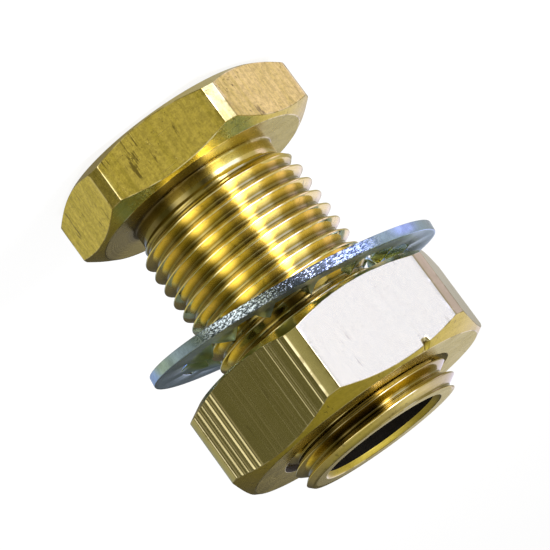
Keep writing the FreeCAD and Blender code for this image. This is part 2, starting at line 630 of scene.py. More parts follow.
@dataclass(frozen=True)
class BrassFinish:
    """Bare brass with lines from its making, scuffs, worn edges, dirt in the hollows and painted shade.

    The grime_and_shade attribute lays the dark colour, dirt in places and painted shade where shade falls: it
    hides dirt_and_shade_cover of the brass under it, and where it is thicker than caked_from it turns dull.
    """

    name: str
    fresh: Colour
    aged: Colour
    dirt_and_shade: Colour
    grain: Grain
    roughness: float = 0.24
    roughness_spread: float = 0.12
    line_depth: float = 0.010
    scuffing: float = 1.0
    aging: float = 0.6
    mottling: float = 0.3
    metallic: float = 1.0
    gloss: float = 0.5
    worn: Colour = (0.95, 0.86, 0.58)
    polish: float = 0.6
    edge_dirt: float = 1.0
    dirt_and_shade_cover: float = 0.97
    caked_from: float = 0.95
    caked_dullness: float = 0.5

    def material(self, effects: SurfaceEffects) -> bpy.types.Material:
        """Builds the material.

        Args:
            effects: the shared node groups.

        Returns:
            The material.
        """
        made = bpy.data.materials.new(self.name)
        made.use_nodes = True
        sketch = NodeSketch(made.node_tree)
        shader = made.node_tree.nodes["Principled BSDF"]
        shader.inputs["Metallic"].default_value = self.metallic
        shader.inputs["Specular IOR Level"].default_value = self.gloss
        place = sketch.add("ShaderNodeTexCoord").outputs["Object"]
        wear = sketch.add("ShaderNodeAttribute", attribute_name="wear").outputs["Fac"]
        grime_and_shade = sketch.add("ShaderNodeAttribute", attribute_name="grime_and_shade").outputs["Fac"]
        scuffs = sketch.add("ShaderNodeGroup", node_tree=effects.scuffs)
        sketch.feed(scuffs.inputs["Vector"], place)
        scuffs.inputs["Amount"].default_value = self.scuffing
        lines = sketch.add(
            "ShaderNodeGroup", node_tree=effects.drawn if self.grain is Grain.DRAWN else effects.turned)
        sketch.feed(lines.inputs["Vector"], place)

        cloud = sketch.remap(scuffs.outputs["Cloud"], *NOISE_SPAN)
        streak = sketch.remap(lines.outputs["Lines"], *NOISE_SPAN)
        age = sketch.math("ADD", sketch.math("MULTIPLY", streak, 0.75), sketch.math("MULTIPLY", cloud, 0.25))
        age = sketch.math("MULTIPLY", age, self.aging)
        age = sketch.math("MULTIPLY", age, sketch.remap(wear, 0.3, 0.9, 1.0, 0.1))
        colour = sketch.mix(age, (*self.fresh, 1), (*self.aged, 1))
        speck = sketch.remap(scuffs.outputs["Grain"], 0.34, 0.66,
                             1.0 - self.mottling, 1.0 + self.mottling * 0.4)
        colour = sketch.mix(1.0, colour, speck, "MULTIPLY")
        edge = sketch.mix(sketch.remap(scuffs.outputs["Cloud"], 0.46, 0.54, 0.0, self.edge_dirt),
                          (*self.worn, 1), (*self.dirt_and_shade, 1))
        colour = sketch.mix(sketch.math("MULTIPLY", wear, self.polish), colour, edge)
        hollow = sketch.math("MAXIMUM", scuffs.outputs["Pit"], scuffs.outputs["Gouge"])
        colour = sketch.mix(sketch.math("MULTIPLY", scuffs.outputs["Scratch"], 0.4), colour, (*self.dirt_and_shade, 1))
        colour = sketch.mix(sketch.math("MULTIPLY", hollow, 0.9), colour, (*self.dirt_and_shade, 1))
        # Dirt and painted shade: the grime_and_shade attribute lays the dark colour over the brass.
        colour = sketch.mix(sketch.math("MULTIPLY", grime_and_shade, self.dirt_and_shade_cover), colour, (*self.dirt_and_shade, 1))
        sketch.feed(shader.inputs["Base Color"], colour)

        rough = sketch.math("ADD", self.roughness, sketch.math("MULTIPLY", cloud, self.roughness_spread))
        rough = sketch.math("ADD", rough, sketch.math("MULTIPLY", scuffs.outputs["Scratch"], 0.10))
        rough = sketch.math("MULTIPLY", rough, sketch.remap(wear, 0.2, 1.0, 1.0, 0.7))
        rough = sketch.math("ADD", rough, sketch.remap(grime_and_shade, self.caked_from, 1.0, 0.0, self.caked_dullness))
        sketch.feed(shader.inputs["Roughness"], rough)

        height = sketch.math("ADD", lines.outputs["Lines"],
                             sketch.math("MULTIPLY", scuffs.outputs["Scratch"], -0.9))
        height = sketch.math("ADD", height, sketch.math("MULTIPLY", hollow, -0.6))
        height = sketch.math("ADD", height, sketch.math("MULTIPLY", scuffs.outputs["Cloud"], 0.8))
        bump = sketch.add("ShaderNodeBump", {
            "Height": height, "Distance": self.line_depth * MM, "Strength": 1.0})
        sketch.feed(shader.inputs["Normal"], bump.outputs[0])
        return made


@dataclass(frozen=True)
class ZincFinish:
    """Zinc plate on steel, cloudy on the faces and speckled where the sheet was sheared.

    The grains of the speckle stand out in bright, and bump_depth is their height in millimetres. Where
    grime_and_shade is set, the grains turn dark as a painted dark reflection.
    """

    name: str
    pale: Colour
    dark: Colour
    roughness: float
    speckle: float
    speckle_scale: float
    bright: Colour = (0.78, 0.91, 1.0)
    scuffing: float = 0.6
    bump_depth: float = 0.02

    def material(self, effects: SurfaceEffects) -> bpy.types.Material:
        """Builds the material.

        Args:
            effects: the shared node groups.

        Returns:
            The material.
        """
        made = bpy.data.materials.new(self.name)
        made.use_nodes = True
        sketch = NodeSketch(made.node_tree)
        shader = made.node_tree.nodes["Principled BSDF"]
        shader.inputs["Metallic"].default_value = 1.0
        place = sketch.add("ShaderNodeTexCoord").outputs["Object"]
        scuffs = sketch.add("ShaderNodeGroup", node_tree=effects.scuffs)
        sketch.feed(scuffs.inputs["Vector"], place)
        scuffs.inputs["Amount"].default_value = self.scuffing
        torn = sketch.add("ShaderNodeAttribute", attribute_name="wear").outputs["Fac"]
        dark = sketch.add("ShaderNodeAttribute", attribute_name="grime_and_shade").outputs["Fac"]
        slim = sketch.add("ShaderNodeMapping", {"Vector": place, "Scale": (1.0, 1.0, 2.2)})
        grains = sketch.noise(slim.outputs[0], self.speckle_scale, 3.0, 0.7)
        speckle = sketch.math("MULTIPLY", torn, self.speckle)
        cloud = sketch.math("MULTIPLY", sketch.remap(scuffs.outputs["Cloud"], 0.35, 0.65), 0.35)
        colour = sketch.mix(cloud, (*self.pale, 1), (*self.dark, 1))
        bright = sketch.mix(sketch.remap(grains, 0.42, 0.56), (*self.bright, 1), (*self.dark, 1))
        colour = sketch.mix(speckle, colour, bright)
        # Painted dark reflection: on the rim's dark arcs the grains turn to the dark colour.
        shadow = sketch.math("MULTIPLY", dark, self.speckle)
        shadow = sketch.math("MULTIPLY", shadow, sketch.remap(grains, 0.34, 0.44))
        colour = sketch.mix(shadow, colour, (*self.dark, 1))
        sketch.feed(shader.inputs["Base Color"], colour)
        rough = sketch.math("ADD", self.roughness, sketch.math("MULTIPLY", scuffs.outputs["Cloud"], 0.15))
        sketch.feed(shader.inputs["Roughness"], rough)
        height = sketch.math("ADD", sketch.math("MULTIPLY", grains, sketch.math("MULTIPLY", speckle, 3.0)),
                             sketch.math("MULTIPLY", scuffs.outputs["Scratch"], -0.6))
        bump = sketch.add("ShaderNodeBump", {
            "Height": height, "Distance": self.bump_depth * MM, "Strength": 1.0})
        sketch.feed(shader.inputs["Normal"], bump.outputs[0])
        return made


@dataclass
class FinishSet:
    """All the materials of the connector."""

    stud: list[bpy.types.Material] = field(default_factory=list)
    nut: list[bpy.types.Material] = field(default_factory=list)
    washer: list[bpy.types.Material] = field(default_factory=list)

    def build(self) -> "FinishSet":
        """Makes the materials, in the slot order of the areas.

        Returns:
            This set.
        """
        effects = SurfaceEffects().build()
        # Dark colours that the grime_and_shade attribute lays: dirt, and painted shade where shade falls.
        dirt_and_shade = (0.07, 0.042, 0.010)
        thread_shade_and_dirt = (0.022, 0.013, 0.003)
        head_flat = BrassFinish(
            "drawn_brass", (0.88, 0.71, 0.21), (0.66, 0.54, 0.11), dirt_and_shade, Grain.DRAWN, roughness=0.20,
            roughness_spread=0.05, line_depth=0.007, scuffing=0.75, aging=1.0, mottling=0.23, polish=0.4)
        nut_flat = BrassFinish(
            "dull_drawn_brass", (0.515, 0.46, 0.236), (0.495, 0.44, 0.228), dirt_and_shade, Grain.DRAWN, roughness=0.20,
            roughness_spread=0.02, line_depth=0.001, scuffing=0.2, aging=0.8, mottling=0.03, polish=0.25)
        turned = BrassFinish(
            "turned_brass", (0.72, 0.58, 0.11), (0.56, 0.45, 0.05), dirt_and_shade, Grain.TURNED, roughness=0.22,
            roughness_spread=0.06, line_depth=0.005, scuffing=0.5, aging=0.6, mottling=0.10)
        thread = BrassFinish(
            "thread_brass", (0.95, 0.80, 0.32), (0.90, 0.72, 0.16), thread_shade_and_dirt, Grain.TURNED, roughness=0.11,
            roughness_spread=0.05, line_depth=0.002, scuffing=0.4, aging=0.6, mottling=0.06, polish=0.4,
            worn=(0.95, 0.82, 0.46), edge_dirt=0.0)
        # Painted shadow: the bore is lined with a near-black, non-metal colour where shade falls inside it.
        bore_shadow = BrassFinish(
            "bore_painted_shadow", (0.005, 0.004, 0.003), (0.003, 0.003, 0.002), dirt_and_shade, Grain.TURNED, roughness=0.7,
            line_depth=0.01, scuffing=0.0, metallic=0.0, gloss=0.05, polish=0.0)
        self.stud = [finish.material(effects) for finish in (head_flat, turned, thread, bore_shadow)]
        self.nut = [nut_flat.material(effects), *self.stud[1:]]
        face = ZincFinish("zinc_face", (0.44, 0.64, 0.92), (0.28, 0.44, 0.64), 0.24, 0.25, 1500.0)
        rim = ZincFinish("zinc_rim", (0.50, 0.70, 0.96), (0.035, 0.045, 0.045), 0.18, 0.95, 2600.0)
        self.washer = [finish.material(effects) for finish in (face, rim)]
        return self


# Pieces


@dataclass(frozen=True)
class ShadePatch:
    """Patch of dirt on a thread.

    Attributes:
        turn: its middle round the axis, in degrees.
        turn_reach: its reach round the axis.
        rise: its middle along the axis.
        rise_reach: its reach along the axis.
        strength: the painted shade in its middle, 0 to 1.
        turn_fade: where it has faded out round the axis, in reaches.
        rise_fade: where it has faded out along the axis, in reaches.
    """

    turn: float
    turn_reach: float
    rise: float
    rise_reach: float
    strength: float
    turn_fade: float = 1.8
    rise_fade: float = 1.9

    def share(self, angles: np.ndarray, heights: np.ndarray) -> np.ndarray:
        """Painted shade at places on the thread.

        Args:
            angles: places round the axis, in degrees.
            heights: places along the axis.

        Returns:
            The painted shade at each place, fading out at the patch's edge.
        """
        off = np.abs((angles - self.turn + FULL_TURN / 2) % FULL_TURN - FULL_TURN / 2)
        round_axis = np.clip(self.turn_fade - off / self.turn_reach, 0, 1)
        along = np.clip(self.rise_fade - np.abs(heights - self.rise) / self.rise_reach, 0, 1)
        return round_axis * along * self.strength


@dataclass
class ThreadedStud:
    """Hex head and hollow threaded shank, one piece of brass.

    The painted shade by the neck, a darkening where shade falls in the corner under the head, goes by
    the cosine of the angle from shaded_side: it rises from the first of shade_shares to the second
    between the two shade_edges. thread_from is the share of the neck's width at which the threaded surface
    starts.
    """

    thread: PipeThread
    hexagon: HexBar = HexBar(across_flats=28.0, turn=0.0)
    head_height: float = 7.3
    shank_length: float = 35.0
    neck_width: float = 2.0
    neck_undercut: float = 0.1
    neck_fillet: float = 0.25
    # Painted shade by the neck: its reach on the bearing face, its fade, its level on the face, the side it
    # falls on, its spread round the axis, and where it stops up the thread.
    neck_shade_reach: float = 1.3
    shade_fade: float = 1.3
    face_shade: float = 0.45
    shaded_side: float = -48.0
    shade_edges: tuple[float, float] = (0.40, 0.64)
    shade_shares: tuple[float, float] = (0.22, 0.88)
    neck_shade_z: float = 10.0
    neck_shade_fade: float = 0.5
    neck_shade_share: float = 0.9
    thread_from: float = 0.6
    # Painted shadows on the thread: in the groove beside the nut's back face and under the washer.
    thread_shade_and_dirt: tuple[ShadePatch, ...] = (
        ShadePatch(-80.0, 23.0, 39.6, 0.75, 0.85), ShadePatch(-83.0, 22.0, 40.5, 0.5, 0.95),
        ShadePatch(-90.0, 26.0, 25.8, 0.9, 0.75), ShadePatch(-162.0, 22.0, 40.4, 1.2, 0.5),
    )
    bore_d: float = 14.4
    bore_countersink: float = 0.6
    end_chamfer: float = 0.75
    end_inset: float = 0.05
    head_mouth_round: float = 0.05
    tail_mouth_round: float = 0.08

    @property
    def neck_r(self) -> float:
        """Radius of the relief neck behind the head."""
        return self.thread.major_r - self.thread.depth - self.neck_undercut

    def _shade_share(self, angles: np.ndarray) -> np.ndarray:
        """How much of the neck's painted shade lies at places round the axis, heavier on the shaded side."""
        return np.interp(np.cos(np.radians(angles - self.shaded_side)), self.shade_edges, self.shade_shares)

    def _neck_shade(self, angles: np.ndarray) -> Field:
        """Painted shade in the corner between the bearing face and the neck, where shade falls.

        Args:
            angles: places round the axis, in degrees.

        Returns:
            The painted shade as a function of radius and height.
        """
        share = self._shade_share(angles)

        def shade_at(radius: np.ndarray, height: np.ndarray) -> np.ndarray:
            """Painted shade at one ring.

            Args:
                radius: the ring's distance from the axis.
                height: its place along the axis.

            Returns:
                The painted shade at each place round it.
            """
            away = np.maximum(radius - self.neck_r, 0) / self.neck_shade_reach
            face_level = np.where(radius < self.hexagon.face_r + self.hexagon.edge_round, self.face_shade, 0.0)
            shade_here = np.maximum(np.clip(self.shade_fade - away * self.shade_fade, 0, 1), face_level)
            return np.where(height < self.head_height - TOUCH, 0.0, shade_here * share)

        return shade_at

    def _thread_shade(self, angles: np.ndarray, heights: np.ndarray) -> np.ndarray:
        """Painted shade on the thread beside the neck, and in patches further along.

        Args:
            angles: places round the axis, in degrees.
            heights: places along the axis.

        Returns:
            The painted shade at each place.
        """
        below = np.clip((self.neck_shade_z - heights) / self.neck_shade_fade, 0, 1)
        shade_at = self._shade_share(angles) * below * self.neck_shade_share
        for patch in self.thread_shade_and_dirt:
            shade_at = np.maximum(shade_at, patch.share(angles, heights))
        return shade_at

    def _trim(self, radius: np.ndarray, height: np.ndarray) -> np.ndarray:
        """Cuts the thread back to the neck, its run-in cone and the end chamfer.

        Args:
            radius: the thread's plain radius at each place.
            height: the places along the axis.

        Returns:
            The radius after the cuts.
        """
        neck_top = self.head_height + self.neck_width
        tail = self.head_height + self.shank_length
        cone = self.neck_r + np.maximum(height - neck_top, 0)
        end = self.thread.major_r - self.end_chamfer + (tail - height)
        return np.minimum(np.minimum(radius, cone), end)

    def build(self, finishes: FinishSet) -> bpy.types.Object:
        """Builds the stud in place of its CAD node.

        Args:
            finishes: the connector's materials.

        Returns:
            The finished piece.
        """
        bar = self.hexagon
        angles = bar.angles()
        wall = bar.radius(angles)
        drop = bar.chamfer_drop(wall)
        bore_r = self.bore_d / 2
        rim_r = bore_r + self.bore_countersink
        tail = self.head_height + self.shank_length
        neck_r = self.neck_r
        shade_r = neck_r + self.neck_shade_reach
        start = self.head_height + self.neck_width * self.thread_from
        round_off = bar.edge_round
        sketch = MeshSketch()
        lower = Turning(angles).follow([
            (bore_r, tail / 2, 0, BrassArea.BORE),
            (bore_r, self.bore_countersink, 0, BrassArea.TURNED),
            (rim_r, 0.0, self.head_mouth_round, BrassArea.TURNED),
            (bar.face_r, 0.0, round_off, BrassArea.TURNED),
            (wall, drop, round_off, BrassArea.FLAT),
            (wall, self.head_height - drop, round_off, BrassArea.TURNED),
            (bar.face_r, self.head_height, round_off, BrassArea.TURNED),
            (shade_r, self.head_height, 0, BrassArea.TURNED),
            (neck_r, self.head_height, self.neck_fillet, BrassArea.TURNED),
            (neck_r, start, 0, BrassArea.TURNED),
        ])
        # Painted shade: _neck_shade darkens the bearing face and the neck, and _thread_shade darkens the
        # thread, where shade falls.
        lower.build(sketch, bar.corner_wear(angles), self._neck_shade(angles))
        self.thread.wrap(sketch, angles, start, tail, self._trim, painted_shade=self._thread_shade)
        thread_r = self.thread.major_r - self.thread.drop(angles, np.full_like(angles, tail))
        end_r = self._trim(thread_r, tail)
        upper = Turning(angles).follow([
            (end_r, tail, 0, BrassArea.TURNED),
            (neck_r - self.end_inset, tail, 0, BrassArea.TURNED),
            (rim_r, tail, self.tail_mouth_round, BrassArea.TURNED),
            (bore_r, tail - self.bore_countersink, 0, BrassArea.BORE),
            (bore_r, tail / 2, 0, BrassArea.BORE),
        ])
        upper.build(sketch)
        piece = sketch.to_object("threaded_stud_body", finishes.stud)
        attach(piece, "stud")
        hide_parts("threaded_stud")
        return piece


@dataclass(frozen=True)
class DieGroove:
    """Groove along a flat: its place across the flat, its width and its depth."""

    place: float
    width: float
    depth: float


@dataclass
class BackNut:
    """Hex nut that runs on the shank, with grooves left by the drawing die.

    faint_widths and faint_shares bound the random widths and depths of the faint lines, the depths as
    shares of faint_depth. nick_rows are the mesh rows under the nick, in nick depths.
    """

    thread: PipeThread
    hexagon: HexBar = HexBar(across_flats=31.6, turn=31.3)
    front_z: float = 27.9
    height: float = 11.1
    running_gap: float = 0.12
    mouth_sink: float = 0.5
    mouth_lip: float = 0.12
    grooved_flat: int = 4
    grooves: tuple[DieGroove, ...] = (
        DieGroove(4.3, 0.65, 0.08), DieGroove(5.2, 0.70, 0.10), DieGroove(6.15, 0.65, 0.08),
        DieGroove(7.0, 0.70, 0.10), DieGroove(7.9, 0.60, 0.08), DieGroove(1.7, 0.35, 0.02),
        DieGroove(-3.9, 0.40, 0.03), DieGroove(-5.3, 0.40, 0.05), DieGroove(-5.9, 0.35, 0.04),
        DieGroove(-7.3, 0.40, 0.06), DieGroove(-8.2, 0.35, 0.04),
    )
    groove_grime: float = 3.5
    faint_lines: int = 34
    faint_depth: float = 0.022
    faint_seed: int = 7
    faint_reach: float = 8.5
    faint_widths: tuple[float, float] = (0.3, 0.7)
    faint_shares: tuple[float, float] = (0.3, 1.0)
    # Painted shade at the nut's back mouth, where shade falls.
    mouth_shade: ShadePatch = ShadePatch(-3.0, 32.0, 39.0, 0.6, 1.0)
    nicked_flat: int = 3
    nick_angle: float = 229.5
    nick_width: float = 1.6
    nick_depth: float = 0.35
    nick_fade: float = 1.3
    nick_rows: tuple[float, float] = (2.3, 2.0)

    def _groove_depth(self, angles: np.ndarray) -> np.ndarray:
        """How deep the grooved flat is cut.

        Args:
            angles: places round the nut, in degrees.

        Returns:
            The depth at each place, 0 on the other flats.
        """
        off = self.hexagon.off_middle(angles)
        side = np.floor((angles - self.hexagon.turn) / HEX_STEP).astype(int) % HEX_SIDES
        across = self.hexagon.across_flats / 2 * np.tan(np.radians(off))
        cut = np.zeros_like(angles)
        scatter = np.random.default_rng(self.faint_seed)
        faint = [DieGroove(scatter.uniform(-self.faint_reach, self.faint_reach),
                           scatter.uniform(*self.faint_widths),
                           scatter.uniform(*self.faint_shares) * self.faint_depth)
                 for _ in range(self.faint_lines)]
        for groove in (*self.grooves, *faint):
            away = np.minimum(np.abs(across - groove.place) / (groove.width / 2), 1)
            cut = np.maximum(cut, groove.depth * (0.5 + 0.5 * np.cos(np.pi * away)))
        return np.where(side == self.grooved_flat, cut, 0)

    def _trim(self, radius: np.ndarray, height: np.ndarray) -> np.ndarray:
        """Opens the thread out to the countersunk mouths.

        Args:
            radius: the thread's plain radius at each place.
            height: the places along the axis.

        Returns:
            The radius after the cuts.
        """
        mouth_r = self.thread.major_r + self.running_gap + self.mouth_sink
        back_z = self.front_z + self.height
        return np.maximum(radius, mouth_r - np.minimum(height - self.front_z, back_z - height))

    def build(self, finishes: FinishSet) -> bpy.types.Object:
        """Builds the nut in place of its CAD node.

        Args:
            finishes: the connector's materials.

        Returns:
            The finished piece.
        """
        bar = self.hexagon
        angles = bar.angles(dense=(self.grooved_flat, self.nicked_flat))
        depth = self._groove_depth(angles)
        wall = bar.radius(angles) - depth
        drop = bar.chamfer_drop(wall)
        off_nick = np.abs(angles % FULL_TURN - self.nick_angle) / self.nick_width
        nick = np.clip(self.nick_fade - off_nick * self.nick_fade, 0, 1)
        notch = nick * self.nick_depth
        back_z = self.front_z + self.height
        mouth_r = self.thread.major_r + self.running_gap + self.mouth_sink
        round_off = bar.edge_round
        sketch = MeshSketch()
        outside = Turning(angles).follow([
            (mouth_r, self.front_z, 0, BrassArea.TURNED),
            (mouth_r + self.mouth_lip, self.front_z, 0, BrassArea.TURNED),
            (bar.face_r, self.front_z, round_off, BrassArea.TURNED),
            (wall, self.front_z + drop, round_off, BrassArea.FLAT),
            *[(wall, back_z - drop - self.nick_depth * row, 0, BrassArea.FLAT) for row in self.nick_rows],
            (wall - notch, back_z - drop - notch, round_off, BrassArea.TURNED),
            (bar.face_r, back_z, round_off, BrassArea.TURNED),
            (mouth_r + self.mouth_lip, back_z, 0, BrassArea.TURNED),
            (mouth_r, back_z, 0, BrassArea.TURNED),
        ])

        def grime_and_shade(radius: np.ndarray, height: np.ndarray) -> np.ndarray:
            """Dirt in the grooves and the nick.

            Args:
                radius: one ring's distance from the axis.
                height: its place along the axis.

            Returns:
                The dirt at each place round it.
            """
            near_nick = (height > back_z - drop - self.nick_depth) & (radius > bar.face_r + self.nick_depth)
            in_grooves = np.where(np.isclose(radius, wall), depth * self.groove_grime, 0.0)
            return np.where(near_nick, nick, in_grooves)

        outside.build(sketch, bar.corner_wear(angles), grime_and_shade)
        self.thread.wrap(sketch, angles, self.front_z, back_z, self._trim, gap=self.running_gap,
                         painted_shade=self.mouth_shade.share)
        piece = sketch.to_object("back_nut_body", finishes.nut)
        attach(piece, "nut")
        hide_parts("back_nut")
        return piece


@dataclass
class LockWasher:
    """Stamped ring whose inner teeth are twisted out of its plane.

    torn_arcs and dark_arcs are the stretches of the rim that are speckled or dark, each as its middle
    and half its width in degrees; the dark arcs are a painted dark reflection. flat_inset and bevel_inset
    place the rings beside the rim's rounded edges, in edge rounds, and rim_bands are the bands between rings
    that belong to the rim.
    """

    outer_r: float = 17.994
    ring_width: float = 3.4
    thickness: float = 1.25
    tip_r: float = 11.4775
    tooth_count: int = 14
    tooth_width: float = 2.7
    tooth_twist: float = 42.0
    lean: float = 7.3
    lean_azimuth: float = 199.4
    shift: float = 0.45
    centre_z: float = 24.294
    tooth_columns: int = 6
    tooth_rows: int = 10
    gap_columns: int = 10
    edge_round: float = 0.10
    torn_arcs: tuple[tuple[float, float], ...] = ((66.0, 36.0), (190.0, 30.0), (290.0, 38.0))
    # Painted dark reflection on these stretches of the rim.
    dark_arcs: tuple[tuple[float, float], ...] = ((58.0, 14.0), (195.0, 12.0), (280.0, 16.0))
    arc_fade: float = 6.0
    flat_inset: float = 3.0
    bevel_inset: float = 0.3
    rim_bands: range = range(2, 7)
    stamped_round: float = 0.09
    stamped_segments: int = 2
    stamped_angle: float = 50.0

    def _on_arcs(self, angles: np.ndarray, arcs: Sequence[tuple[float, float]]) -> np.ndarray:
        """How far places round the ring lie on some arcs.

        Args:
            angles: the places, in degrees.
            arcs: middle and half width of each arc.

        Returns:
            A share for each place, 0 to 1.
        """
        share = np.zeros_like(angles)
        for middle, half in arcs:
            away = np.abs((angles - middle + FULL_TURN / 2) % FULL_TURN - FULL_TURN / 2)
            edges = (half - self.arc_fade, half + self.arc_fade)
            share = np.maximum(share, np.interp(away, edges, (1.0, 0.0)))
        return share

    def _placed(self) -> Matrix:
        """Turn and place of the leaning washer on the shank.

        Returns:
            The matrix that puts the flat washer there, in metres.
        """
        lean = Matrix.Rotation(math.radians(self.lean), 4, Vector((0, -1, 0)))
        place = Matrix.Translation(Vector((self.shift, 0, self.centre_z)) * MM)
        return Matrix.Rotation(math.radians(self.lean_azimuth), 4, "Z") @ place @ lean

    def _ring_angles(self) -> tuple[np.ndarray, list[np.ndarray]]:
        """Places round the ring.

        Returns:
            The angles in degrees, and the columns that each tooth grows from.
        """
        half = math.degrees(math.asin(self.tooth_width / 2 / (self.outer_r - self.ring_width)))
        pitch = FULL_TURN / self.tooth_count
        places: list[float] = []
        roots = []
        for tooth in range(self.tooth_count):
            middle = tooth * pitch
            own = np.linspace(middle - half, middle + half, self.tooth_columns + 1)
            roots.append(np.arange(len(places), len(places) + len(own)))
            gap = np.linspace(middle + half, middle + pitch - half, self.gap_columns + 1)[1:-1]
            places += list(own) + list(gap)
        return np.asarray(places), roots

    def build(self, finishes: FinishSet) -> bpy.types.Object:
        """Builds the washer in place of its CAD node.

        Args:
            finishes: the connector's materials.

        Returns:
            The finished piece.
        """
        angles, roots = self._ring_angles()
        turn = np.radians(angles)
        inner_r = self.outer_r - self.ring_width
        half = self.thickness / 2
        sketch = MeshSketch()
        torn = self._on_arcs(angles, self.torn_arcs)
        # Painted dark reflection: the dark arcs go into grime_and_shade.
        dark = self._on_arcs(angles, self.dark_arcs)

        def ring(radius: float, height: float) -> np.ndarray:
            """Adds one ring of points.

            Args:
                radius: the ring's radius.
                height: its place along the washer's axis.

            Returns:
                The points' indices.
            """
            level = np.full_like(turn, height)
            places = np.stack([radius * np.cos(turn), radius * np.sin(turn), level], axis=1)
            return sketch.add(places, torn, dark)

        corner, outer_r = self.edge_round, self.outer_r
        flat, bevel = corner * self.flat_inset, corner * self.bevel_inset
        rims = [
            ring(inner_r, -half), ring(outer_r - flat, -half), ring(outer_r - corner, -half),
            ring(outer_r - bevel, -half + bevel), ring(outer_r, -half + corner),
            ring(outer_r, half - corner), ring(outer_r - bevel, half - bevel),
            ring(outer_r - corner, half), ring(outer_r - flat, half), ring(inner_r, half),
        ]
        for number, (low, high) in enumerate(zip(rims, rims[1:])):
            sketch.band(low, high, ZincArea.RIM if number in self.rim_bands else ZincArea.FACE)
        bottom, top = rims[0], rims[-1]
        toothed = {int(column) for root in roots for column in root[:-1]}
        for column in range(len(angles)):
            if column not in toothed:
                after = (column + 1) % len(angles)
                sketch.face((bottom[column], top[column], top[after], bottom[after]), ZincArea.RIM)
        for root in roots:
            self._tooth(sketch, angles, root, bottom, top)
        piece = sketch.to_object("lock_washer_body", finishes.washer)
        piece.data.transform(self._placed())
        stamped = piece.modifiers.new("stamped edges", "BEVEL")
        stamped.width = self.stamped_round * MM
        stamped.segments = self.stamped_segments
        stamped.limit_method = "ANGLE"
        stamped.angle_limit = math.radians(self.stamped_angle)
        stamped.harden_normals = False
        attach(piece, "washer")
        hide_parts("lock_washer")
        return piece

    def _tooth(self, sketch: MeshSketch, angles: np.ndarray, root: np.ndarray,
               bottom: np.ndarray, top: np.ndarray) -> None:
        """Adds one tooth, which twists from the ring to its tip.

        Args:
            sketch: the washer's mesh.
            angles: places round the ring, in degrees.
            root: the ring's columns that the tooth grows from.
            bottom: the ring's lower inner points.
            top: the ring's upper inner points.
        """
        inner_r = self.outer_r - self.ring_width
        half = self.thickness / 2
        middle = math.radians(angles[root].mean())
        along = np.array([math.cos(middle), math.sin(middle), 0])
        across = np.array([-math.sin(middle), math.cos(middle), 0])
        up = np.array([0, 0, 1.0])
        local = np.radians(angles[root]) - middle
        side = inner_r * np.sin(local)
        rows_low, rows_high = [bottom[root]], [top[root]]
        for row in range(1, self.tooth_rows + 1):
            share = row / self.tooth_rows
            twist = math.radians(self.tooth_twist) * share
            radius = inner_r * np.cos(local) * (1 - share) + self.tip_r * share
            for store, height in ((rows_low, -half), (rows_high, half)):
                flat = side * math.cos(twist) - height * math.sin(twist)
                rise = side * math.sin(twist) + height * math.cos(twist)
                places = radius[:, None] * along + flat[:, None] * across + rise[:, None] * up
                store.append(sketch.add(places))
        for row in range(self.tooth_rows):
            for column in range(len(root) - 1):
                low = (rows_low[row][column], rows_low[row][column + 1],
                       rows_low[row + 1][column + 1], rows_low[row + 1][column])
                high = (rows_high[row][column], rows_high[row + 1][column],
                        rows_high[row + 1][column + 1], rows_high[row][column + 1])
                sketch.face(low, ZincArea.FACE)
                sketch.face(high, ZincArea.FACE)
            for column in (0, -1):
                sketch.face((rows_low[row][column], rows_low[row + 1][column],
                             rows_high[row + 1][column], rows_high[row][column]), ZincArea.RIM)
        for column in range(len(root) - 1):
            sketch.face((rows_low[-1][column], rows_low[-1][column + 1],
                         rows_high[-1][column + 1], rows_high[-1][column]), ZincArea.RIM)


# Studio


@dataclass(frozen=True)
class Softbox:
    """Square area lamp that faces the connector.

    Attributes:
        name: the lamp's name.
        swing: degrees to the right of the camera, round the upright axis.
        lift: degrees above the floor.
        reach: distance from the connector, in metres.
        size: side of the square, in metres.
        power: watts.
    """

    name: str
    swing: float
    lift: float
    reach: float
    size: float
    power: float


# Tints of the dome's panels
PLAIN = (1.0, 0.97, 0.95)
WARM = (1.0, 0.93, 0.75)
GOLD = (1.0, 0.95, 0.50)
PALE = (1.0, 0.95, 1.25)
ROSE = (1.0, 0.89, 1.38)
BLUE = (0.78, 0.93, 1.30)
SKY = (0.335, 0.37, 0.75)
AMBER = (1.0, 0.95, 0.42)


@dataclass(frozen=True)
class Shade:
    """Light of one panel: its swing to the right of the camera, its level and its tint."""

    swing: float
    level: float
    tint: Colour = PLAIN

    @property
    def light(self) -> tuple[float, float, float, float]:
        """Level and tint as one colour."""
        return (*[self.level * part for part in self.tint], 1.0)


@dataclass(frozen=True)
class PanelRow:
    """Panels that surfaces of one tilt mirror to the camera, from left to right."""

    tilt: float
    shades: tuple[Shade, ...]


